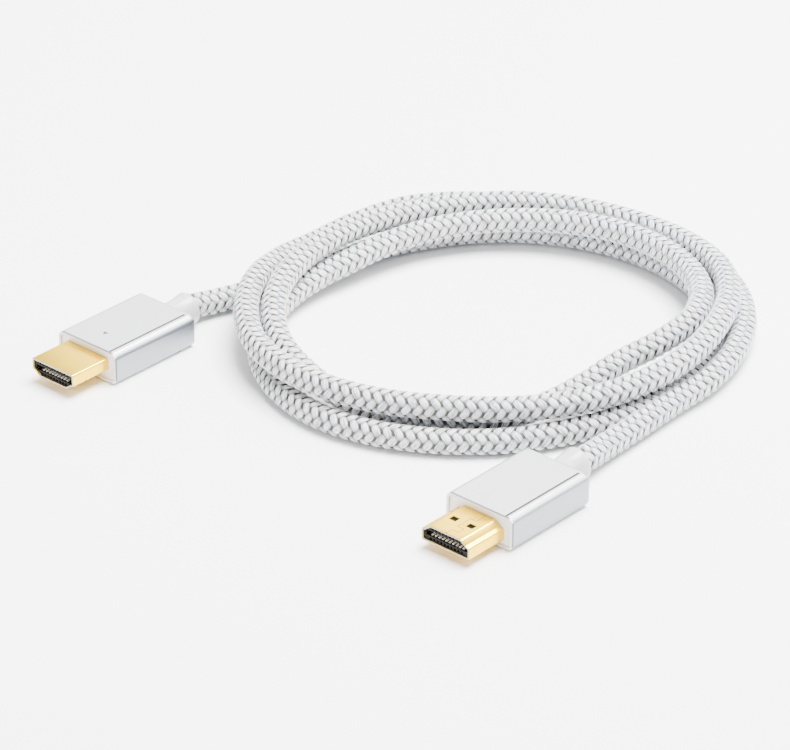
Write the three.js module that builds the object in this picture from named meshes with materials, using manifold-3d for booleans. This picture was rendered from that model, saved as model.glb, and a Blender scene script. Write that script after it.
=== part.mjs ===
// Braided audio and video cable with a nineteen-contact plug at each end, lying coiled on a floor.
// Millimetres. X runs from the left plug to the right plug, the plugs' noses point to -Y, Z is up.

import * as THREE from 'three';
import { mergeVertices } from 'three/addons/utils/BufferGeometryUtils.js';
import Module from 'manifold-3d';

const wasm = await Module();
wasm.setup();

// Places of the two plugs
const plugSpacing = 119.2;
const leftNoseAhead = 5;

// Plug shell, a folded tube with a D-shaped section
const shellWidth = 13.9;
const shellHeight = 4.45;
const shellNarrowWidth = 9.3;
const shellSideHeight = 2.7;
const shellWall = 0.45;
const shellCorner = 0.5;
const shellReach = 11.4;
const shellBuried = 7;
const windowWidth = 1.7;
const windowLength = 1.4;
const windowSpacing = 4.9;
const windowFromNose = 5.9;

// Housing sleeve and the moulding inside it
const housingWidth = 19.5;
const housingHeight = 8.5;
const housingLength = 27;
const housingCorner = 1.9;
const housingWall = 0.8;
const housingRearWall = 1.5;
const insertRecess = 0.35;

// Contact block and its contacts
const blockRecess = 0.4;
const blockLength = 16;
const slotHeight = 1.3;
const slotSideWall = 0.45;
const slotDepth = 8;
const contactPitch = 1;
const contactWidth = 0.45;
const contactThickness = 0.25;
const contactLength = 6.6;
const contactRecess = 0.5;
const holeSize = 0.6;
const holeDepth = 1.2;
const holeFromSlot = 0.45;
const wideContactCount = 10;
const narrowContactCount = 9;

// Collar where the cable leaves the housing
const collarLength = 7.6;
const collarFrontDiameter = 7.2;
const collarDiameter = 8.3;
const collarLip = 0.5;
const collarBoreDepth = 3;

// Clearances between touching pieces
const fitGap = 0.1;
const pressGap = 0.03;
const faceGap = 0.3;

// Cable
const cableDiameter = 6.4;
const cableSides = 12;
const cableLift = 0.05;
const coilCentre = [0.5, 63.4];
const coilSteps = 60;
const coilSides = 24;
const stepsPerStation = 5;
// Radius and height of the middle of the cable, every 30 degrees of the coil.
// Each turn starts at the left and goes over the far side.
const coilTurns = [
  [[50.6, 3.2], [50.9, 3.2], [53.6, 3.2], [56.1, 3.2], [56.8, 3.2], [53.8, 3.3],
    [53.0, 3.2], [54.1, 3.2], [56.95, 3.2], [59.75, 3.2], [57.5, 3.3], [51.6, 4.3]],
  [[44.9, 6.3], [46.2, 7.7], [49.6, 8.4], [53.2, 9.2], [53.8, 9.2], [49.2, 10.5],
    [40.8, 8.4], [44.0, 5.8], [49.6, 3.4], [50.5, 3.9], [52.9, 8.4], [51.2, 10.7]],
  [[49.7, 11.4], [52.5, 10.1], [57.3, 9.5], [59.8, 9.3], [60.8, 10.1], [56.1, 10.8],
    [52.9, 9.8], [51.5, 9.2], [52.1, 9.4], [56.5, 9.5], [59.3, 9.6], [58.1, 10.3]],
  [[57.3, 7.0], [59.9, 7.9], [62.5, 5.7], [64.7, 4.1], [64.6, 4.2], [60.6, 4.0],
    [56.7, 3.3]],
];

const housingCentreZ = housingHeight / 2;
const insertLength = housingLength - housingRearWall - insertRecess - faceGap;
const slotWidth = shellWidth - 2 * (shellWall + fitGap + slotSideWall);
const collarBore = cableDiameter + 2 * faceGap;
const housingY = shellReach;
const collarY = housingY + housingLength + fitGap;
const plugLength = collarY + collarLength;
const tailStartY = plugLength - collarBoreDepth + faceGap;
const leftNoseY = -(plugLength + leftNoseAhead) / 2;

const aluminium = new THREE.MeshStandardMaterial({ color: 0xd9dbde, roughness: 0.35, metalness: 1 });
const whitePlastic = new THREE.MeshStandardMaterial({ color: 0xf3f3f3, roughness: 0.4, metalness: 0 });
const gold = new THREE.MeshStandardMaterial({ color: 0xe8cd86, roughness: 0.28, metalness: 1 });
const blackPlastic = new THREE.MeshStandardMaterial({ color: 0x3a3a3e, roughness: 0.55, metalness: 0 });
const pearlPlastic = new THREE.MeshStandardMaterial({ color: 0xefeeea, roughness: 0.3, metalness: 0.1 });
const whiteBraid = new THREE.MeshStandardMaterial({ color: 0xdcdcda, roughness: 0.7, metalness: 0 });

// Turns a closed geometry into a manifold, facing out
function toManifold(geometry) {
  const bare = new THREE.BufferGeometry();
  bare.setAttribute('position', geometry.getAttribute('position'));
  if (geometry.index) bare.setIndex(geometry.index);
  const merged = mergeVertices(bare, 1e-4);
  const triangles = Uint32Array.from(merged.index.array);
  const points = Float32Array.from(merged.getAttribute('position').array);
  if (signedVolume(points, triangles) < 0) {
    for (let i = 0; i < triangles.length; i += 3) {
      const swap = triangles[i];
      triangles[i] = triangles[i + 1];
      triangles[i + 1] = swap;
    }
  }
  return new wasm.Manifold(new wasm.Mesh({ numProp: 3, vertProperties: points, triVerts: triangles }));
}

function signedVolume(points, triangles) {
  const corner = [new THREE.Vector3(), new THREE.Vector3(), new THREE.Vector3()];
  let volume = 0;
  for (let i = 0; i < triangles.length; i += 3) {
    corner.forEach((p, k) => p.fromArray(points, 3 * triangles[i + k]));
    volume += corner[0].dot(corner[1].cross(corner[2])) / 6;
  }
  return volume;
}

function toGeometry(manifold) {
  const mesh = manifold.getMesh();
  const geometry = new THREE.BufferGeometry();
  geometry.setAttribute('position', new THREE.BufferAttribute(Float32Array.from(mesh.vertProperties), 3));
  geometry.setIndex(new THREE.BufferAttribute(Uint32Array.from(mesh.triVerts), 1));
  return geometry;
}

function box(width, length, height, x, y, z) {
  const geometry = new THREE.BoxGeometry(width, length, height);
  geometry.translate(x, y, z);
  return geometry;
}

// Extrudes a shape drawn in X and Z along +Y from a start
function extrudeAlongY(shape, startY, length) {
  const geometry = new THREE.ExtrudeGeometry(shape, { depth: length, bevelEnabled: false, curveSegments: 4 });
  geometry.rotateX(Math.PI / 2);
  geometry.translate(0, startY + length, 0);
  return geometry;
}

function roundedRectangle(width, height, radius) {
  const x = width / 2 - radius;
  const z = height / 2 - radius;
  const shape = new THREE.Shape();
  shape.absarc(x, z, radius, 0, Math.PI / 2);
  shape.absarc(-x, z, radius, Math.PI / 2, Math.PI);
  shape.absarc(-x, -z, radius, Math.PI, 1.5 * Math.PI);
  shape.absarc(x, -z, radius, 1.5 * Math.PI, 2 * Math.PI);
  shape.closePath();
  return shape;
}

// D-shaped outline with its wide side towards +Z, moved inwards by an inset.
// The flank has a rounded shoulder under the upright side and then slants to the narrow side.
function shellOutline(inset) {
  const wide = shellWidth / 2 - inset;
  const narrow = shellNarrowWidth / 2 - inset * 0.6;
  const top = shellHeight / 2 - inset;
  const bottom = -top;
  const radius = shellCorner - inset * 0.4;
  const sideEnd = shellHeight / 2 - shellSideHeight + inset * 0.4;
  const shoulder = wide - 1.3 * radius;
  const slant = shoulder - 0.9 * radius;
  const shape = new THREE.Shape();
  shape.moveTo(wide - radius, top);
  shape.quadraticCurveTo(wide, top, wide, top - radius);
  shape.lineTo(wide, sideEnd);
  shape.quadraticCurveTo(wide, sideEnd - 0.8 * radius, shoulder, sideEnd - radius);
  shape.quadraticCurveTo(slant, sideEnd - 1.1 * radius, slant - 0.4 * radius, sideEnd - 1.8 * radius);
  shape.lineTo(narrow + 0.4 * radius, bottom + 0.4 * radius);
  shape.quadraticCurveTo(narrow, bottom, narrow - 0.6 * radius, bottom);
  const half = shape.getPoints(3);
  const outline = new THREE.Shape(half);
  for (const p of half.slice().reverse()) outline.lineTo(-p.x, p.y);
  outline.closePath();
  return outline;
}

function shellGeometry() {
  const length = shellReach + shellBuried;
  let body = toManifold(extrudeAlongY(shellOutline(0), 0, length));
  const inside = toManifold(extrudeAlongY(shellOutline(shellWall), -1, length + 2));
  body = body.subtract(inside);
  for (const side of [-1, 1]) {
    const x = side * windowSpacing / 2;
    const cut = box(windowWidth, windowLength, 2, x, windowFromNose, -shellHeight / 2);
    body = body.subtract(toManifold(cut));
  }
  return toGeometry(body);
}

function contactX(index, count) {
  return (index - (count - 1) / 2) * contactPitch;
}

function blockGeometry() {
  const inset = shellWall + fitGap;
  let body = toManifold(extrudeAlongY(shellOutline(inset), blockRecess, blockLength));
  const slot = box(slotWidth, slotDepth * 2, slotHeight, 0, blockRecess, 0);
  body = body.subtract(toManifold(slot));
  for (const [count, side] of [[wideContactCount, 1], [narrowContactCount, -1]]) {
    const z = side * (slotHeight / 2 + holeFromSlot + holeSize / 2 - 0.1);
    for (let i = 0; i < count; i += 1) {
      const hole = box(holeSize, holeDepth * 2, holeSize, contactX(i, count), blockRecess, z);
      body = body.subtract(toManifold(hole));
    }
  }
  return toGeometry(body);
}

function housingGeometry() {
  const outer = roundedRectangle(housingWidth, housingHeight, housingCorner);
  const inner = roundedRectangle(housingWidth - 2 * housingWall, housingHeight - 2 * housingWall,
    housingCorner - housingWall);
  let body = toManifold(extrudeAlongY(outer, housingY, housingLength));
  const pocket = housingLength - housingRearWall + 1;
  body = body.subtract(toManifold(extrudeAlongY(inner, housingY - 1, pocket)));
  return toGeometry(body);
}

function insertGeometry() {
  const sleeve = 2 * (housingWall + fitGap);
  const outer = roundedRectangle(housingWidth - sleeve, housingHeight - sleeve, housingCorner - housingWall);
  let body = toManifold(extrudeAlongY(outer, housingY + insertRecess, insertLength));
  const seatLength = shellBuried + fitGap;
  body = body.subtract(toManifold(extrudeAlongY(shellOutline(-pressGap), housingY - 1, seatLength + 1)));
  return toGeometry(body);
}

function collarGeometry() {
  const end = collarLength;
  const profile = [
    [0, 0],
    [collarFrontDiameter / 2, 0],
    [collarFrontDiameter / 2, 0.25 * end],
    [collarFrontDiameter / 2 + 0.15, 0.55 * end],
    [collarDiameter / 2 - 0.05, 0.8 * end],
    [collarDiameter / 2, end - collarLip],
    [collarDiameter / 2 - 0.3, end],
    [collarBore / 2, end],
    [collarBore / 2, end - collarBoreDepth],
    [0, end - collarBoreDepth],
  ].map(([r, y]) => new THREE.Vector2(r, y));
  const geometry = new THREE.LatheGeometry(profile, 32);
  geometry.translate(0, collarY, 0);
  return toGeometry(toManifold(geometry));
}

function named(name, geometry, material) {
  const mesh = new THREE.Mesh(geometry, material);
  mesh.name = name;
  return mesh;
}

function makePlug(side, wideUp) {
  const plug = new THREE.Group();
  plug.add(named(`${side}_housing`, housingGeometry(), aluminium));
  plug.add(named(`${side}_nose_insert`, insertGeometry(), whitePlastic));
  plug.add(named(`${side}_plug_shell`, shellGeometry(), gold));
  plug.add(named(`${side}_contact_block`, blockGeometry(), blackPlastic));
  plug.add(named(`${side}_collar`, collarGeometry(), pearlPlastic));
  const y = blockRecess + contactRecess + contactLength / 2;
  const z = slotHeight / 2 - contactThickness / 2 - 0.02;
  for (const [count, row, up] of [[wideContactCount, 'wide', 1], [narrowContactCount, 'narrow', -1]]) {
    for (let i = 0; i < count; i += 1) {
      const strip = box(contactWidth, contactLength, contactThickness, contactX(i, count), y, up * z);
      plug.add(named(`${side}_contact_${row}_${i + 1}`, strip, gold));
    }
  }
  if (!wideUp) plug.rotation.y = Math.PI;
  return plug;
}

// Radius and height of the middle of the cable at a step along the coil, on a smooth line
function coilStation(step) {
  const stations = coilTurns.flat();
  const k = Math.floor(step / stepsPerStation);
  const t = (step % stepsPerStation) / stepsPerStation;
  const clamped = (i) => stations[Math.min(Math.max(i, 0), stations.length - 1)];
  const [a, b, c, d] = [k - 1, k, k + 1, k + 2].map(clamped);
  const smooth = (i) => 0.5 * (2 * b[i] + (c[i] - a[i]) * t
    + (2 * a[i] - 5 * b[i] + 4 * c[i] - d[i]) * t * t
    + (3 * b[i] - a[i] - 3 * c[i] + d[i]) * t * t * t);
  return [smooth(0), Math.max(smooth(1), cableDiameter / 2)];
}

// Section of the coil at a step: in each direction, the outermost side of the turns that pass there
function coilSection(step, grow) {
  const middles = [];
  const last = stepsPerStation * (coilTurns.flat().length - 1);
  for (let at = step; at <= last; at += coilSteps) middles.push(coilStation(at));
  const reach = cableDiameter / 2 + grow;
  const points = [];
  for (let i = 0; i < coilSides; i += 1) {
    const c = Math.cos(2 * Math.PI * i / coilSides);
    const s = Math.sin(2 * Math.PI * i / coilSides);
    const [radius, height] = middles.reduce((best, m) => (
      m[0] * c + m[1] * s > best[0] * c + best[1] * s ? m : best));
    points.push([radius + reach * c, height + reach * s]);
  }
  return points;
}

// Outer shape of the coil, a ring through its sections
function coilManifold(grow) {
  const positions = [];
  const index = [];
  for (let step = 0; step < coilSteps; step += 1) {
    const angle = Math.PI * (1 - 2 * step / coilSteps);
    const next = (step + 1) % coilSteps;
    coilSection(step, grow).forEach(([radius, z], i) => {
      positions.push(coilCentre[0] + radius * Math.cos(angle), coilCentre[1] + radius * Math.sin(angle), z);
      const j = (i + 1) % coilSides;
      const [a, b, c, d] = [[step, i], [next, i], [next, j], [step, j]].map(([s, k]) => s * coilSides + k);
      index.push(a, b, c, a, c, d);
    });
  }
  const geometry = new THREE.BufferGeometry();
  geometry.setAttribute('position', new THREE.Float32BufferAttribute(positions, 3));
  geometry.setIndex(index);
  return toManifold(geometry);
}

// Tube along a route, cut off clear of the coil
function tailGeometry(route) {
  const curve = new THREE.CatmullRomCurve3(route.map((p) => new THREE.Vector3(...p)));
  const section = new THREE.Shape();
  section.absarc(0, 0, cableDiameter / 2, 0, 2 * Math.PI);
  const ring = new THREE.Shape(section.getPoints(cableSides).slice(0, -1));
  const steps = Math.ceil(curve.getLength() / (cableDiameter * 0.7));
  const tube = new THREE.ExtrudeGeometry(ring, { extrudePath: curve, steps, bevelEnabled: false });
  return toGeometry(toManifold(tube).subtract(coilManifold(faceGap)));
}

const rightPlace = [plugSpacing / 2, leftNoseY + leftNoseAhead];
const leftPlace = [-plugSpacing / 2, leftNoseY];

const leftPlug = makePlug('left', true);
leftPlug.position.set(leftPlace[0], leftPlace[1], housingCentreZ);
const rightPlug = makePlug('right', false);
rightPlug.position.set(rightPlace[0], rightPlace[1], housingCentreZ);

const lowZ = cableDiameter / 2 + cableLift;
const leftStart = leftPlace[1] + tailStartY;
const rightStart = rightPlace[1] + tailStartY;
const leftRoute = [
  [leftPlace[0], leftStart, housingCentreZ],
  [leftPlace[0], leftStart + 4, housingCentreZ],
  [leftPlace[0] + 1.2, leftStart + 10, housingCentreZ - 0.7],
  [leftPlace[0] + 4.2, leftStart + 20, lowZ],
  [leftPlace[0] + 8, leftStart + 31, lowZ],
  [coilCentre[0] - coilTurns[0][0][0], coilCentre[1], lowZ],
];
const rightRoute = [
  [rightPlace[0], rightStart, housingCentreZ],
  [rightPlace[0], rightStart + 4, housingCentreZ],
  [rightPlace[0] - 0.9, rightStart + 12, housingCentreZ - 0.7],
  [rightPlace[0] - 1.6, rightStart + 24, lowZ],
  [coilCentre[0] + coilTurns.at(-1).at(-1)[0], coilCentre[1], lowZ],
];

const cable = new THREE.Group();
cable.add(named('cable_coil', toGeometry(coilManifold(0)), whiteBraid));
cable.add(named('left_cable_tail', tailGeometry(leftRoute), whiteBraid));
cable.add(named('right_cable_tail', tailGeometry(rightRoute), whiteBraid));

const part = new THREE.Group();
part.add(leftPlug, rightPlug, cable);

export default part;
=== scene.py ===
import math

import bpy
import numpy as np
from mathutils import Matrix, Vector


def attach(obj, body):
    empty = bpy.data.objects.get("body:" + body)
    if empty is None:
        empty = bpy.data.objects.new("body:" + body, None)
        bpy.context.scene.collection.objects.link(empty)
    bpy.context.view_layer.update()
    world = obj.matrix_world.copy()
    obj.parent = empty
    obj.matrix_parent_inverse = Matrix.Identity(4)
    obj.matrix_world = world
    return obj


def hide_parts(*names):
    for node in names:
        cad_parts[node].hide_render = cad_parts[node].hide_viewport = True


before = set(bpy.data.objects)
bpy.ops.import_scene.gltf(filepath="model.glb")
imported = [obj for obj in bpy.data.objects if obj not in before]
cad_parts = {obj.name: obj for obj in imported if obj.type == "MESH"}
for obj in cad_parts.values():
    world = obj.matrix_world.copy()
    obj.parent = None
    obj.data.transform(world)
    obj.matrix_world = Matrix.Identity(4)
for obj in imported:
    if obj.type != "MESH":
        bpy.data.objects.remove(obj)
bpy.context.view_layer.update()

mm = 0.001

# Sizes that several pieces share, in millimetres and the same as in the frame
plugs = {
    "spacing": 119.2,       # between the middles of the two plugs
    "leftAhead": 5,         # the left plug's nose lies this much nearer
    "length": 46.1,
    "shellReach": 11.4,     # from the nose to the housing's front
    "housingLength": 27,
    "housingHeight": 8.5,
}


def placeOf(side):
    y = -(plugs["length"] + plugs["leftAhead"]) / 2
    if side == "left":
        return (-plugs["spacing"] / 2, y)
    return (plugs["spacing"] / 2, y + plugs["leftAhead"])


# Plug points, with the nose at y 0 and the wide side up, to metres in the frame.
# The right plug lies upside down.
def toWorld(points, side):
    turned = np.array(points, float)
    if side == "right":
        turned = turned * (-1, 1, -1)
    x, y = placeOf(side)
    return (turned + (x, y, plugs["housingHeight"] / 2)) * mm


def makeObject(name, points, faces, uvs=None):
    mesh = bpy.data.meshes.new(name)
    mesh.vertices.add(len(points))
    mesh.vertices.foreach_set("co", np.asarray(points, np.float32).ravel())
    loops = np.concatenate([np.asarray(f, np.int32).ravel() for f in faces])
    sizes = np.concatenate([np.full(len(f), len(f[0]), np.int32) for f in faces])
    starts = np.concatenate([[0], np.cumsum(sizes)[:-1]]).astype(np.int32)
    mesh.loops.add(len(loops))
    mesh.polygons.add(len(sizes))
    mesh.loops.foreach_set("vertex_index", loops)
    mesh.polygons.foreach_set("loop_start", starts)
    mesh.polygons.foreach_set("loop_total", sizes)
    mesh.update(calc_edges=True)
    mesh.validate()
    mesh.polygons.foreach_set("use_smooth", np.ones(len(sizes), bool))
    if uvs is not None:
        layer = mesh.uv_layers.new(name="along")
        layer.data.foreach_set("uv", np.asarray(uvs, np.float32)[loops].ravel())
    piece = bpy.data.objects.new(name, mesh)
    bpy.context.scene.collection.objects.link(piece)
    return piece


# Quads between rows of points, wound so that a tube's rows along its way face out
def gridFaces(rows, columns, closedColumns=True, closedRows=False):
    r = np.arange(rows if closedRows else rows - 1)
    c = np.arange(columns if closedColumns else columns - 1)
    a, b = np.meshgrid(r, c, indexing="ij")
    nextA, nextB = (a + 1) % rows, (b + 1) % columns
    quads = [a * columns + b, a * columns + nextB, nextA * columns + nextB, nextA * columns + b]
    return np.stack(quads, -1).reshape(-1, 4)


def finishPiece(piece, material, replaced=()):
    piece.data.materials.clear()
    piece.data.materials.append(material)
    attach(piece, "root")
    if replaced:
        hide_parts(*replaced)
    return piece


# Camera, fitted to the corners of both plugs in a picture of 790 by 750
view = {
    "azimuth": 41.5,
    "elevation": 28.8,
    "roll": 0.28,
    "target": (-4.3, 34.7, 0),
    "distance": 917.7,
    "focalPixels": 3822,
    "pictureWidth": 790,
    "filmWidth": 36,
}


def makeCamera():
    a, e = math.radians(view["azimuth"]), math.radians(view["elevation"])
    back = Vector((math.sin(a) * math.cos(e), -math.cos(a) * math.cos(e), math.sin(e)))
    data = bpy.data.cameras.new("camera")
    camera = bpy.data.objects.new("camera", data)
    bpy.context.scene.collection.objects.link(camera)
    data.sensor_width = view["filmWidth"]
    data.lens = view["filmWidth"] * view["focalPixels"] / view["pictureWidth"]
    data.clip_start = 0.05
    data.clip_end = 20
    roll = Matrix.Rotation(math.radians(view["roll"]), 3, "Z").to_quaternion()
    camera.rotation_mode = "QUATERNION"
    camera.rotation_quaternion = (-back).to_track_quat("-Z", "Y") @ roll
    camera.location = (Vector(view["target"]) + back * view["distance"]) * mm
    bpy.context.scene.camera = camera
    print("camera")


# Cable, and where it lies
cable = {
    "diameter": 6.4,
    "lift": 0.05,           # clearance above the floor
    "boreDepth": 3,         # how far the collar takes the cable in
    "boreGap": 0.3,
    "coilCentre": (0.5, 63.4),
    "step": 0.25,           # between the rows of the braid
    "quickCoarser": 4,
    "pathStep": 3,
}

# Radius and height of the middle of the cable, every 30 degrees of the coil.
# Each turn starts at the left and goes over the far side.
coilTurns = [
    [(50.6, 3.2), (50.9, 3.2), (53.6, 3.2), (56.1, 3.2), (56.8, 3.2), (53.8, 3.3),
     (53.0, 3.2), (54.1, 3.2), (56.95, 3.2), (59.75, 3.2), (57.5, 3.3), (51.6, 4.3)],
    [(44.9, 6.3), (46.2, 7.7), (49.6, 8.4), (53.2, 9.2), (53.8, 9.2), (49.2, 10.5),
     (40.8, 8.4), (44.0, 5.8), (49.6, 3.4), (50.5, 3.9), (52.9, 8.4), (51.2, 10.7)],
    [(49.7, 11.4), (52.5, 10.1), (57.3, 9.5), (59.8, 9.3), (60.8, 10.1), (56.1, 10.8),
     (52.9, 9.8), (51.5, 9.2), (52.1, 9.4), (56.5, 9.5), (59.3, 9.6), (58.1, 10.3)],
    [(57.3, 7.0), (59.9, 7.9), (62.5, 5.7), (64.7, 4.1), (64.6, 4.2), (60.6, 4.0),
     (56.7, 3.3)],
]


# Middle of the cable at a step of 15 degrees, halfway ones on a smooth line
def coilPoint(step):
    stations = [s for turn in coilTurns for s in turn]
    k, half = divmod(step, 2)
    radius, height = stations[k]
    if half:
        near = [min(max(i, 0), len(stations) - 1) for i in range(k - 1, k + 3)]
        a, b, c, d = (np.array(stations[i]) for i in near)
        radius, height = (9 * (b + c) - a - d) / 16
    angle = math.pi - math.radians(15 * step)
    x, y = cable["coilCentre"]
    lowest = cable["diameter"] / 2
    return (x + radius * math.cos(angle), y + radius * math.sin(angle), max(height, lowest))


def cablePoints():
    start = plugs["length"] - cable["boreDepth"] + cable["boreGap"]
    exitZ = plugs["housingHeight"] / 2
    low = cable["diameter"] / 2 + cable["lift"]
    leftX, leftNose = placeOf("left")
    rightX, rightNose = placeOf("right")
    leftY, rightY = leftNose + start, rightNose + start
    left = [
        (leftX, leftY, exitZ),
        (leftX, leftY + 4, exitZ),
        (leftX + 1.2, leftY + 10, exitZ - 0.7),
        (leftX + 4.2, leftY + 20, low),
        (leftX + 8, leftY + 31, low),
    ]
    right = [
        (rightX - 1.6, rightY + 24, low),
        (rightX - 0.9, rightY + 12, exitZ - 0.7),
        (rightX, rightY + 4, exitZ),
        (rightX, rightY, exitZ),
    ]
    lastStep = 2 * sum(len(turn) for turn in coilTurns) - 2
    return left + [coilPoint(step) for step in range(lastStep + 1)] + right


# Catmull-Rom curve through points, at an even spacing, with its length
def smoothLine(points, spacing):
    p = np.array(points, float)
    p = np.vstack([2 * p[0] - p[1], p, 2 * p[-1] - p[-2]])
    t = np.linspace(0, 1, 24, endpoint=False)[:, None]
    stretches = []
    for i in range(1, len(p) - 2):
        a, b, c, d = p[i - 1:i + 3]
        stretches.append(0.5 * (2 * b + (c - a) * t + (2 * a - 5 * b + 4 * c - d) * t ** 2
                                + (3 * b - a - 3 * c + d) * t ** 3))
    fine = np.vstack(stretches + [p[-2:-1]])
    run = np.concatenate([[0], np.cumsum(np.linalg.norm(np.diff(fine, axis=0), axis=1))])
    count = max(2, round(run[-1] / spacing))
    at = np.linspace(0, run[-1], count + 1)
    return np.stack([np.interp(at, run, fine[:, k]) for k in range(3)], -1), run[-1]


# Unit tangents, and two side directions that go along without a twist
def lineFrames(line):
    tangent = np.gradient(line, axis=0)
    tangent /= np.linalg.norm(tangent, axis=1)[:, None]
    side = np.cross(tangent, (0.0, 0.0, 1.0))
    side /= np.linalg.norm(side, axis=1)[:, None]
    return tangent, side, np.cross(side, tangent)


# A number socket that can be used in sums
class Value:
    def __init__(self, shader, socket):
        self.shader = shader
        self.socket = socket

    def math(self, operation, *others):
        made = self.shader.node("ShaderNodeMath", {"operation": operation},
                                dict(enumerate((self,) + others)))
        return Value(self.shader, made.outputs[0])

    def __add__(self, other):
        return self.math("ADD", other)

    def __sub__(self, other):
        return self.math("SUBTRACT", other)

    def __rsub__(self, other):
        return (self * -1) + other

    def __mul__(self, other):
        return self.math("MULTIPLY", other)

    __radd__ = __add__
    __rmul__ = __mul__


# A material under construction
class Shader:
    def __init__(self, name, fixed):
        self.material = bpy.data.materials.new(name)
        self.material.use_nodes = True
        self.tree = self.material.node_tree
        self.surface = self.tree.nodes["Principled BSDF"]
        for key, value in fixed.items():
            self.surface.inputs[key].default_value = value

    def node(self, kind, settings=None, sockets=None):
        made = self.tree.nodes.new(kind)
        for key, value in (settings or {}).items():
            setattr(made, key, value)
        for key, value in (sockets or {}).items():
            self.feed(made.inputs[key], value)
        return made

    def feed(self, target, value):
        if isinstance(value, Value):
            value = value.socket
        if isinstance(value, bpy.types.NodeSocket):
            self.tree.links.new(value, target)
        else:
            target.default_value = value

    def coordinate(self, kind="Object"):
        return self.node("ShaderNodeTexCoord").outputs[kind]

    # Across a yarn from 0 to 1, and millimetres along the cable
    def along(self):
        uv = self.node("ShaderNodeUVMap", {"uv_map": "along"}).outputs[0]
        parts = self.node("ShaderNodeSeparateXYZ", sockets={0: uv})
        return Value(self, parts.outputs[0]), Value(self, parts.outputs[1])

    def combine(self, x, y, z):
        return self.node("ShaderNodeCombineXYZ", sockets={0: x, 1: y, 2: z}).outputs[0]

    def noise(self, vector, scale, detail=3.0, roughness=0.5, stretch=(1, 1, 1)):
        placed = self.node("ShaderNodeVectorMath", {"operation": "MULTIPLY"}, {0: vector, 1: stretch})
        made = self.node("ShaderNodeTexNoise", sockets={
            "Vector": placed.outputs[0], "Scale": scale, "Detail": detail, "Roughness": roughness})
        return Value(self, made.outputs["Fac"])

    def range(self, value, low, high, outLow=0.0, outHigh=1.0):
        made = self.node("ShaderNodeMapRange", sockets={
            "Value": value, "From Min": low, "From Max": high, "To Min": outLow, "To Max": outHigh})
        return Value(self, made.outputs[0])

    def mixColour(self, factor, first, second):
        made = self.node("ShaderNodeMix", {"data_type": "RGBA"}, {0: factor, 6: first, 7: second})
        return made.outputs[2]

    def bump(self, height, strength, distance):
        made = self.node("ShaderNodeBump", sockets={
            "Height": height, "Strength": strength, "Distance": distance})
        self.feed(self.surface.inputs["Normal"], made.outputs[0])

    def base(self, colour):
        self.feed(self.surface.inputs["Base Color"], colour)

    def roughness(self, value):
        self.feed(self.surface.inputs["Roughness"], value)


def rgb(r, g, b):
    return (r, g, b, 1.0)


# Braid: flat yarns wound both ways round a dark core, each one over and under in turn.
# Way 1 winds to the right and way -1 to the left.
braid = {
    "coreDiameter": 5.5,
    "coreSides": 20,
    "coreStep": 1.5,
    "yarnRadius": 2.96,
    "yarnWave": 0.14,       # how far a yarn rises and dips
    "yarnWidth": 1.5,
    "yarnSpread": 0.16,     # how much wider it is where it lies on top
    "yarnCrown": 0.28,
    "crownSink": 0.72,
    "yarnPoints": 7,
    "lay": 10.65,           # length of one turn round the cable
    "yarnsEachWay": 4,
    "yarnsInPiece": 2,
    "names": {1: "braid_right_%d", -1: "braid_left_%d"},
}

yarnLook = {
    "white": rgb(0.73, 0.78, 0.85),
    "cream": rgb(0.88, 0.83, 0.73),
    "paintedGlint": rgb(0.95, 0.94, 0.92),
    "shade": rgb(0.10, 0.097, 0.094),
    "under": rgb(0.035, 0.03, 0.027),
    "fibres": 4,
    "creamFrom": {1: 0.66, -1: 0.95},       # where across the yarn the cream part begins
    "names": {1: "creamEdgedYarn", -1: "whiteYarn"},
}

# The core is dark, and its colours are made darker still as painted shade in the holes of the braid
coreLook = {"low": rgb(0.015, 0.013, 0.012), "high": rgb(0.06, 0.052, 0.048), "grain": 900.0}


def yarnMaterial(way):
    look = yarnLook
    s = Shader(look["names"][way], {"Sheen Weight": 0.2, "Sheen Roughness": 0.5})
    across, run = s.along()
    creamFrom = look["creamFrom"][way]

    # Fibres that wander along the yarn
    wander = s.noise(s.combine(across * 0.4, run * 0.35, 0.0), 3.0)
    fibre = (across + wander * 0.09) * look["fibres"]
    wave = fibre.math("FRACT") - 0.5
    crest = 1.0 - wave * wave * 4.0
    creamPart = s.range(across + wander * 0.12, creamFrom, creamFrom + 0.05)
    body = s.mixColour(creamPart, look["white"], look["cream"])
    shaded = s.mixColour(s.range(crest, 0.0, 0.7, 0.7, 0.0), body, look["shade"])

    # Darker streaks, and painted glints: near-white spots standing in for highlights
    streak = s.noise(s.combine(across * 5.0, run * 0.45, 0.0), 1.0, 3.0, 0.6)
    dulled = s.mixColour(s.range(streak, 0.40, 0.52, 0.7, 0.0), shaded, look["shade"])
    glintSpots = s.noise(s.combine(across * 1.3, run * 0.5, 0.0), 4.0, 4.0, 0.6)
    # Painted highlight: near-white glints mixed into the colour
    bright = s.mixColour(s.range(glintSpots, 0.52, 0.66, 0.0, 0.8), dulled, look["paintedGlint"])

    # Painted shade where the yarn dips under the others
    turnRate = 2 * math.pi * braid["yarnsEachWay"] / braid["lay"]
    phase = (run * turnRate).math("COSINE") * way
    edge = (across - 0.5).math("ABSOLUTE")
    underShade = s.range(phase - edge * 0.9, -0.75, 0.4, 1.0, 0.0)
    s.base(s.mixColour(underShade, bright, look["under"]))
    s.roughness(s.range(glintSpots, 0.35, 0.7, 0.55, 0.32))
    s.bump(crest, 0.8, 0.0001)
    return s.material


def coreMaterial():
    s = Shader("braidCore", {})
    grain = s.noise(s.coordinate(), coreLook["grain"])
    s.base(s.mixColour(grain, coreLook["low"], coreLook["high"]))
    s.roughness(s.range(grain, 0.2, 0.8, 0.4, 0.7))
    return s.material


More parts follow.
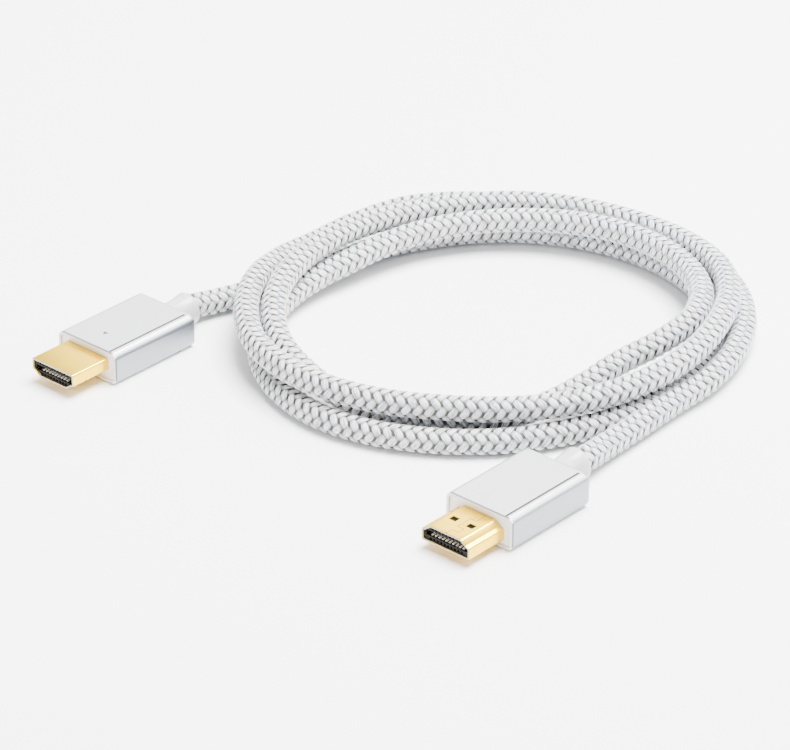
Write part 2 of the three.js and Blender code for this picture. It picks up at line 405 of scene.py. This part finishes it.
# Round tube inside the braid, closed at both ends
def makeCore(line, side, over, step):
    sides = braid["coreSides"]
    coarse = slice(None, None, max(1, round(braid["coreStep"] / step)))
    spots, sideC, overC = line[coarse], side[coarse], over[coarse]
    angles = np.arange(sides) * 2 * math.pi / sides
    ring = (np.cos(angles)[None, :, None] * sideC[:, None]
            + np.sin(angles)[None, :, None] * overC[:, None])
    points = (spots[:, None] + ring * braid["coreDiameter"] / 2).reshape(-1, 3) * mm
    caps = [np.arange(sides)[None, ::-1], (np.arange(sides) + (len(spots) - 1) * sides)[None]]
    core = makeObject("cable_core", points, [gridFaces(len(spots), sides)] + caps)
    replaced = ["cable_coil", "left_cable_tail", "right_cable_tail"]
    return finishPiece(core, coreMaterial(), replaced)


# Rows of points of one yarn: its crowned section, carried along its helix
def yarnRows(line, frames, at, way, start):
    tangent, side, over = frames
    across = np.linspace(-1, 1, braid["yarnPoints"])
    wave = np.cos(2 * math.pi * braid["yarnsEachWay"] * at / braid["lay"])
    angle = way * 2 * math.pi * at / braid["lay"] + start
    middle = braid["yarnRadius"] + way * braid["yarnWave"] * wave
    width = braid["yarnWidth"] * (1 + braid["yarnSpread"] * way * wave)
    helix = math.atan2(2 * math.pi * braid["yarnRadius"], braid["lay"])
    halfTurn = width / 2 * math.cos(helix) / braid["yarnRadius"] * way
    halfRun = -width / 2 * math.sin(helix)
    rows = []
    for u in across:
        theta = angle + u * halfTurn
        radius = middle + braid["yarnCrown"] * (1 - u ** 2 - braid["crownSink"])
        out = np.cos(theta)[:, None] * side + np.sin(theta)[:, None] * over
        rows.append(line + radius[:, None] * out + tangent * (u * halfRun)[:, None])
    uv = np.stack(np.broadcast_arrays((across / 2 + 0.5)[None], at[:, None]), -1)
    return np.stack(rows, 1).reshape(-1, 3), uv.reshape(-1, 2)


def makeYarns(line, frames, at, way, material):
    pieces = []
    inPiece = braid["yarnsInPiece"]
    for number in range(braid["yarnsEachWay"] // inPiece):
        points, uvs, faces = [], [], []
        for k in range(inPiece):
            start = 2 * math.pi * (inPiece * number + k) / braid["yarnsEachWay"]
            yarn, uv = yarnRows(line, frames, at, way, start)
            quads = gridFaces(len(line), braid["yarnPoints"], closedColumns=False) + k * len(yarn)
            points.append(yarn)
            uvs.append(uv)
            faces.append(quads[:, ::-1] if way > 0 else quads)
        name = braid["names"][way] % (number + 1)
        piece = makeObject(name, np.vstack(points) * mm, faces, np.vstack(uvs))
        pieces.append(finishPiece(piece, material))
    return pieces


def makeCable():
    step = cable["step"] * 1
    line, length = smoothLine(cablePoints(), step)
    frames = lineFrames(line)
    at = np.linspace(0, length, len(line))
    core = makeCore(line, frames[1], frames[2], step)
    yarns = []
    for way in (1, -1):
        yarns += makeYarns(line, frames, at, way, yarnMaterial(way))

    path = line[::max(1, round(cable["pathStep"] / step))]
    if not np.allclose(path[-1], line[-1]):
        path = np.vstack([path, line[-1:]])
    print("cable", round(length, 1), "mm,", sum(len(y.data.polygons) for y in yarns), "quads")


# Brushed metal of the housings, with painted shade: its upright sides are darker and bluer than its top
aluminiumLook = {
    "top": (rgb(0.58, 0.59, 0.61), rgb(0.65, 0.66, 0.68)),
    "side": (rgb(0.26, 0.28, 0.31), rgb(0.32, 0.34, 0.37)),
    "lines": (900, 9000, 9000),
    "patches": 120.0,
}


def aluminiumMaterial():
    look = aluminiumLook
    s = Shader("brushedAluminium", {"Metallic": 1.0})
    lines = s.noise(s.coordinate(), 1.0, 5.0, 0.65, look["lines"])
    patch = s.noise(s.coordinate(), look["patches"])
    facing = s.node("ShaderNodeSeparateXYZ", sockets={0: s.coordinate("Normal")}).outputs[2]
    # Painted shade: the more upright a face, the more of the darker, bluer side colours
    sideShade = s.range(Value(s, facing).math("ABSOLUTE"), 0.25, 0.75, 1.0, 0.0)
    top = s.mixColour(lines, *look["top"])
    side = s.mixColour(lines, *look["side"])
    s.base(s.mixColour(sideShade, top, side))
    s.roughness(s.range(lines + patch * 0.4, 0.3, 1.1, 0.32, 0.44))
    s.bump(lines, 0.06, 0.00002)
    return s.material


goldLook = {
    "colours": (rgb(0.85, 0.55, 0.018), rgb(0.92, 0.62, 0.04)),
    "lines": (3000, 500, 3000),
    "clouds": 260.0,
}


def goldMaterial():
    s = Shader("goldPlate", {"Metallic": 1.0})
    lines = s.noise(s.coordinate(), 1.0, 4.0, 0.6, goldLook["lines"])
    cloud = s.noise(s.coordinate(), goldLook["clouds"])
    s.base(s.mixColour(cloud, *goldLook["colours"]))
    s.roughness(s.range(lines, 0.3, 0.7, 0.28, 0.4))
    s.bump(lines, 0.04, 0.00002)
    return s.material


pearlLook = {"colours": (rgb(0.42, 0.42, 0.41), rgb(0.50, 0.50, 0.49)), "clouds": 300.0}


def pearlMaterial():
    s = Shader("pearlCollar", {"Coat Weight": 0.4, "Coat Roughness": 0.15})
    cloud = s.noise(s.coordinate(), pearlLook["clouds"])
    s.base(s.mixColour(cloud, *pearlLook["colours"]))
    s.roughness(s.range(cloud, 0.3, 0.7, 0.28, 0.36))
    return s.material


# Plain finishes: two colours in soft clouds, and a fine grain
plainLooks = {
    "whiteInsert": {"colours": (rgb(0.82, 0.825, 0.83), rgb(0.88, 0.885, 0.89)),
                    "roughness": (0.3, 0.4), "grain": 900.0, "bump": 0.03, "specular": 0.5},
    "blackBlock": {"colours": (rgb(0.006, 0.006, 0.007), rgb(0.012, 0.012, 0.014)),
                   "roughness": (0.5, 0.65), "grain": 1500.0, "bump": 0.1, "specular": 0.1},
    # Dark grey: painted shade in the housing's groove, and the own colour of the triangle mark
    "grooveShadeAndMark": {"colours": (rgb(0.05, 0.05, 0.05), rgb(0.08, 0.08, 0.08)),
                   "roughness": (0.5, 0.6), "grain": 900.0, "bump": 0.05, "specular": 0.2},
    "greyRim": {"colours": (rgb(0.10, 0.10, 0.11), rgb(0.14, 0.14, 0.15)),
                "roughness": (0.4, 0.5), "grain": 900.0, "bump": 0.05, "specular": 0.3},
    "seamShade": {"colours": (rgb(0.20, 0.13, 0.05), rgb(0.27, 0.18, 0.08)),
                  "roughness": (0.4, 0.5), "grain": 900.0, "bump": 0.05, "specular": 0.5},
    "cutEdge": {"colours": (rgb(0.40, 0.37, 0.28), rgb(0.48, 0.44, 0.34)),
                "roughness": (0.3, 0.4), "grain": 900.0, "bump": 0.05, "specular": 0.5},
    "contactTip": {"colours": (rgb(0.86, 0.78, 0.58), rgb(0.93, 0.86, 0.68)),
                   "roughness": (0.2, 0.3), "grain": 900.0, "bump": 0.02, "specular": 0.5},
}


def plainMaterial(name):
    look = plainLooks[name]
    s = Shader(name, {"Specular IOR Level": look["specular"]})
    cloud = s.noise(s.coordinate(), 180.0)
    grain = s.noise(s.coordinate(), look["grain"], 4.0, 0.6)
    s.base(s.mixColour(cloud, *look["colours"]))
    s.roughness(s.range(grain, 0.3, 0.7, *look["roughness"]))
    s.bump(grain, look["bump"], 0.00003)
    return s.material


# Shaping helpers for the plugs

def quadratic(a, b, c, count=6):
    t = np.linspace(0, 1, count + 1)[:, None]
    a, b, c = (np.array(p, float) for p in (a, b, c))
    return list((1 - t) ** 2 * a + 2 * t * (1 - t) * b + t ** 2 * c)


# Rows of points from outlines in X and Z at their places along Y
def lofted(rings, places):
    rows = [np.insert(np.asarray(ring), 1, at, axis=1) for ring, at in zip(rings, places)]
    return np.vstack(rows)


# Corners and faces of a box between two opposite corners
def boxBetween(low, high):
    (x0, y0, z0), (x1, y1, z1) = low, high
    points = [(x, y, z) for z in (z0, z1) for x, y in ((x0, y0), (x1, y0), (x1, y1), (x0, y1))]
    faces = [(0, 3, 2, 1), (4, 5, 6, 7), (0, 1, 5, 4), (1, 2, 6, 5), (2, 3, 7, 6), (3, 0, 4, 7)]
    return points, faces


# Takes a set of boxes out of a piece
def cut(piece, boxes, side):
    points, faces = [], []
    for corners, quads in boxes:
        faces += [tuple(len(points) + i for i in quad) for quad in quads]
        points += corners
    tool = makeObject("cutter", toWorld(points, side), [np.array(faces)])
    step = piece.modifiers.new("cut", "BOOLEAN")
    step.object = tool
    step.operation = "DIFFERENCE"
    step.solver = "EXACT"
    step.use_self = True
    shape = piece.evaluated_get(bpy.context.evaluated_depsgraph_get())
    mesh = bpy.data.meshes.new_from_object(shape)
    piece.modifiers.clear()
    old = piece.data
    piece.data = mesh
    bpy.data.meshes.remove(old)
    bpy.data.objects.remove(tool, do_unlink=True)


def shadeByAngle(piece, degrees):
    mesh = piece.data
    mesh.polygons.foreach_set("use_smooth", np.ones(len(mesh.polygons), bool))
    mesh.update()
    mesh.set_sharp_from_angle(angle=math.radians(degrees))


# One more material for the faces whose middle, in millimetres in the frame, passes a test
def paint(piece, material, test):
    piece.data.materials.append(material)
    number = len(piece.data.materials) - 1
    for face in piece.data.polygons:
        if test(*(v / mm for v in face.center)):
            face.material_index = number


# Folded shell, with two spring windows and a seam in its narrow side
shell = {
    "width": 13.9,
    "height": 4.45,
    "narrowHalf": 9.3 / 2,
    "sideHeight": 2.7,
    "wall": 0.45,
    "corner": 0.5,
    "length": 18.4,
    "edge": 0.1,
    "windowX": 2.45,
    "windowY": 5.9,
    "windowWidth": 1.9,
    "windowLength": 1.7,
    "windowDepth": 0.8,
    "seamPath": [(0, -0.5), (0, 2.0), (1.9, 2.0), (1.9, 3.9), (0, 3.9), (0, 8.3), (1.7, 8.3), (1.7, 11.4)],
    "seamShift": -0.2,
    "seamHalf": 0.07,
    "seamDepth": 0.12,
    "seamReach": 3.3,
}


# D-shaped outline in X and Z with its wide side up, clockwise from the right of the top
def shellOutline(inset):
    wide = shell["width"] / 2 - inset
    narrow = shell["narrowHalf"] - inset * 0.6
    top = shell["height"] / 2 - inset
    radius = shell["corner"] - inset * 0.4
    sideEnd = shell["height"] / 2 - shell["sideHeight"] + inset * 0.4
    shoulder = wide - 1.3 * radius
    slant = shoulder - 0.9 * radius
    half = quadratic((wide - radius, top), (wide, top), (wide, top - radius))
    half += quadratic((wide, sideEnd), (wide, sideEnd - 0.8 * radius), (shoulder, sideEnd - radius))
    half += quadratic((shoulder, sideEnd - radius), (slant, sideEnd - 1.1 * radius),
                      (slant - 0.4 * radius, sideEnd - 1.8 * radius))[1:]
    half += quadratic((narrow + 0.4 * radius, -top + 0.4 * radius), (narrow, -top),
                      (narrow - 0.6 * radius, -top))
    half = np.array(half)
    return np.vstack([half, half[::-1] * (-1, 1)])


def windowBoxes(x):
    y, bottom = shell["windowY"], -shell["height"] / 2
    halfWidth, halfLength, depth = shell["windowWidth"] / 2, shell["windowLength"] / 2, shell["windowDepth"]
    low = (x - halfWidth, y - halfLength, bottom - depth)
    high = (x + halfWidth, y + halfLength, bottom + depth)
    return [boxBetween(low, high)]


def seamBoxes():
    path, half, shift = shell["seamPath"], shell["seamHalf"], shell["seamShift"]
    bottom = -shell["height"] / 2
    boxes = []
    for (ax, ay), (bx, by) in zip(path, path[1:]):
        x0, x1 = sorted((-ax + shift, -bx + shift))
        y0, y1 = sorted((ay, by))
        low = (x0 - half, y0 - half, bottom - 0.3)
        high = (x1 + half, y1 + half, bottom + shell["seamDepth"])
        boxes.append(boxBetween(low, high))
    return boxes


def makeShell(side, material, seam, rim):
    wall, end, edge = shell["wall"], shell["length"], shell["edge"]
    insets = [0, 0, 0.3 * edge, edge, wall - edge, wall - 0.3 * edge, wall, wall]
    places = [end, edge, 0.3 * edge, 0, 0, 0.3 * edge, edge, end]
    points = lofted([shellOutline(inset) for inset in insets], places)
    faces = gridFaces(len(insets), len(points) // len(insets), closedRows=True)
    piece = makeObject(side + "_shell", toWorld(points, side), [faces])
    for x in (-shell["windowX"], shell["windowX"]):
        cut(piece, windowBoxes(x), side)
    cut(piece, seamBoxes(), side)
    shadeByAngle(piece, 30)
    finishPiece(piece, material, [side + "_plug_shell"])

    middle, nose = placeOf(side)
    narrowZ = toWorld([(0, 0, -shell["height"] / 2)], side)[0][2] / mm

    def inSeam(x, y, z):
        return 0.01 < abs(z - narrowZ) < 0.13 and abs(x - middle) < shell["seamReach"]

    paint(piece, rim, lambda x, y, z: y < nose + 0.02)
    paint(piece, seam, inSeam)


# Housing sleeve, open at its front, with a fine groove in its top and in its bottom
housing = {
    "width": 19.5,
    "corner": 1.9,
    "cornerSteps": 11,
    "wall": 0.8,
    "mouthDepth": 1.2,
    "groove": [(0.02, 0), (0.06, 1), (0.66, 1), (0.7, 0)],      # inwards from the corner, share of the depth
    "grooveDepth": 0.16,
    "grooveFrom": 0.42,
    "rimFrom": 0.04,
    "rimTo": 0.4,
}


# Rounded rectangle, dipped by a groove beside one long edge of its top and its bottom
def housingOutline(inset, depth):
    halfWidth = housing["width"] / 2 - inset
    halfHeight = plugs["housingHeight"] / 2 - inset
    radius = housing["corner"] - min(inset, housing["wall"])
    x, z = halfWidth - radius, halfHeight - radius
    points = []
    for turn, (signX, signZ) in enumerate(((1, 1), (-1, 1), (-1, -1), (1, -1))):
        grooved = turn % 2 == 0
        arc = [math.radians(90 * turn + a) for a in np.linspace(0, 90, housing["cornerSteps"])]
        corner = [(signX * x + radius * math.cos(a), signZ * z + radius * math.sin(a)) for a in arc]
        dip = [(signX * (x - inwards), signZ * (halfHeight - depth * share * grooved))
               for inwards, share in housing["groove"]]
        points += corner + dip if grooved else dip[::-1] + corner
    return np.array(points)


def makeHousing(side, material, groove, rim, white):
    length, wall, deep = plugs["housingLength"], housing["wall"], housing["grooveDepth"]
    # Inset, place behind the housing's front, and depth of the groove
    rows = [
        (wall, housing["mouthDepth"], 0), (wall, 0.12, 0), (wall - 0.06, 0.02, 0), (wall - 0.14, 0, 0),
        (0.2, 0, 0), (0.06, 0.06, 0), (0, 0.2, 0), (0, housing["grooveFrom"], 0), (0, 0.5, deep),
        (0, length - 1.4, deep), (0, length - 1.1, 0), (0, length - 0.3, 0),
        (0.09, length - 0.09, 0), (0.3, length, 0), (1.0, length, 0),
    ]
    rings = [housingOutline(inset, depth) for inset, y, depth in rows]
    points = lofted(rings, [plugs["shellReach"] + y for inset, y, depth in rows])
    count = len(rings[0])
    faces = gridFaces(len(rows), count)[:, ::-1]
    cap = (np.arange(count) + (len(rows) - 1) * count)[None]
    piece = makeObject(side + "_sleeve", toWorld(points, side), [faces, cap])
    shadeByAngle(piece, 32)
    finishPiece(piece, material, [side + "_housing"])

    middle, nose = placeOf(side)
    front, top = nose + plugs["shellReach"], plugs["housingHeight"]
    halfWidth = housing["width"] / 2
    edge = halfWidth - housing["corner"]

    def inGroove(x, y, z):
        beside = edge - 0.8 < abs(x - middle) < edge
        return beside and 0.02 < min(z, top - z) < 0.3 and y > front + housing["grooveFrom"]

    def inMouth(x, y, z):
        return y < front + housing["mouthDepth"] and abs(x - middle) < halfWidth - 0.2 and 0.2 < z < top - 0.2

    def onRim(x, y, z):
        return housing["rimFrom"] < y - front < housing["rimTo"] and not inMouth(x, y, z)

    # Painted shade: the groove's faces get the dark groove colour
    paint(piece, groove, inGroove)
    paint(piece, rim, onRim)
    paint(piece, white, inMouth)


# Small plain triangle on top of the left plug, its point towards the nose
mark = {"y": 17.5, "width": 1.6, "length": 1.3, "sunk": 0.05, "proud": 0.012}


def makeMark(material):
    half, ahead, behind = mark["width"] / 2, mark["y"] - mark["length"] / 2, mark["y"] + mark["length"] / 2
    top = plugs["housingHeight"] / 2
    points = [(x, y, z) for z in (top - mark["sunk"], top + mark["proud"])
              for x, y in ((0, ahead), (half, behind), (-half, behind))]
    sides = np.array([(0, 1, 4, 3), (1, 2, 5, 4), (2, 0, 3, 5)])
    ends = np.array([(0, 2, 1), (3, 4, 5)])
    piece = makeObject("left_mark", toWorld(points, "left"), [sides, ends])
    shadeByAngle(piece, 30)
    finishPiece(piece, material)


# Flared collar round the cable, turned from a profile of radius and place behind the housing
collar = {
    "gap": 0.1,
    "sides": 72,
    "profile": [
        (0.5, 0), (3.5, 0), (3.6, 0.08), (3.6, 1.6), (3.64, 2.8), (3.74, 4.2), (3.92, 5.4),
        (4.07, 6.3), (4.14, 6.9), (4.15, 7.2), (4.08, 7.45), (3.93, 7.57), (3.75, 7.6),
        (3.6, 7.55), (3.52, 7.42), (3.5, 7.2), (3.5, 5.0), (0.5, 5.0),
    ],
}


def makeCollar(side, material):
    start = plugs["shellReach"] + plugs["housingLength"] + collar["gap"]
    angle = np.arange(collar["sides"]) * 2 * math.pi / collar["sides"]
    rings = [np.stack([r * np.cos(angle), r * np.sin(angle)], -1) for r, y in collar["profile"]]
    points = lofted(rings, [start + y for r, y in collar["profile"]])
    faces = gridFaces(len(rings), collar["sides"])[:, ::-1]
    piece = makeObject(side + "_relief", toWorld(points, side), [faces])
    shadeByAngle(piece, 50)
    finishPiece(piece, material, [side + "_collar"])


# Gives a solid of the frame its material
def dress(name, material):
    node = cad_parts[name]
    node.data.materials.clear()
    node.data.materials.append(material)


contactRows = {"wide": 10, "narrow": 9}


def makePlugs():
    aluminium, gold, pearl = aluminiumMaterial(), goldMaterial(), pearlMaterial()
    plain = {name: plainMaterial(name) for name in plainLooks}
    makeMark(plain["grooveShadeAndMark"])
    for side in ("left", "right"):
        makeHousing(side, aluminium, plain["grooveShadeAndMark"], plain["greyRim"], plain["whiteInsert"])
        makeShell(side, gold, plain["seamShade"], plain["cutEdge"])
        makeCollar(side, pearl)
        dress(side + "_nose_insert", plain["whiteInsert"])
        dress(side + "_contact_block", plain["blackBlock"])
        for row, count in contactRows.items():
            for i in range(count):
                dress("%s_contact_%s_%d" % (side, row, i + 1), plain["contactTip"])
        print(side, "plug")


# Pale floor and soft studio light, in metres and watts
stage = {
    "floorHalf": 4.0,
    "floorColours": (rgb(0.93, 0.93, 0.93), rgb(0.95, 0.95, 0.95)),
    "skyStrength": 0.7,
    "lampTarget": (0, 0.04, 0),
    "lamps": {
        "top": {"place": (0.1, 0.25, 1.0), "size": 0.7, "power": 80},
        "backLeft": {"place": (-0.6, 0.75, 0.55), "size": 0.7, "power": 8},
        "backRight": {"place": (0.55, 0.8, 0.6), "size": 0.6, "power": 10},
        "front": {"place": (-0.2, -0.9, 0.45), "size": 0.6, "power": 4},
    },
}


def makeFloor():
    half = stage["floorHalf"]
    corners = [(-half, -half, 0), (half, -half, 0), (half, half, 0), (-half, half, 0)]
    floor = makeObject("floor", corners, [np.array([(0, 1, 2, 3)])])
    s = Shader("paleFloor", {"Roughness": 0.9, "Specular IOR Level": 0.1})
    s.base(s.mixColour(s.noise(s.coordinate(), 3.0), *stage["floorColours"]))
    floor.data.materials.append(s.material)


def makeLights():
    world = bpy.data.worlds.new("studio")
    world.use_nodes = True
    sky = world.node_tree.nodes["Background"]
    sky.inputs["Color"].default_value = rgb(1, 1, 1)
    sky.inputs["Strength"].default_value = stage["skyStrength"]
    bpy.context.scene.world = world
    for name, lamp in stage["lamps"].items():
        data = bpy.data.lights.new(name, "AREA")
        data.size = lamp["size"]
        data.energy = lamp["power"]
        place = Vector(lamp["place"])
        made = bpy.data.objects.new(name, data)
        made.location = place
        made.rotation_mode = "QUATERNION"
        made.rotation_quaternion = (Vector(stage["lampTarget"]) - place).to_track_quat("-Z", "Y")
        bpy.context.scene.collection.objects.link(made)


makeCamera()
makeCable()
makePlugs()
makeFloor()
makeLights()
print("stage")
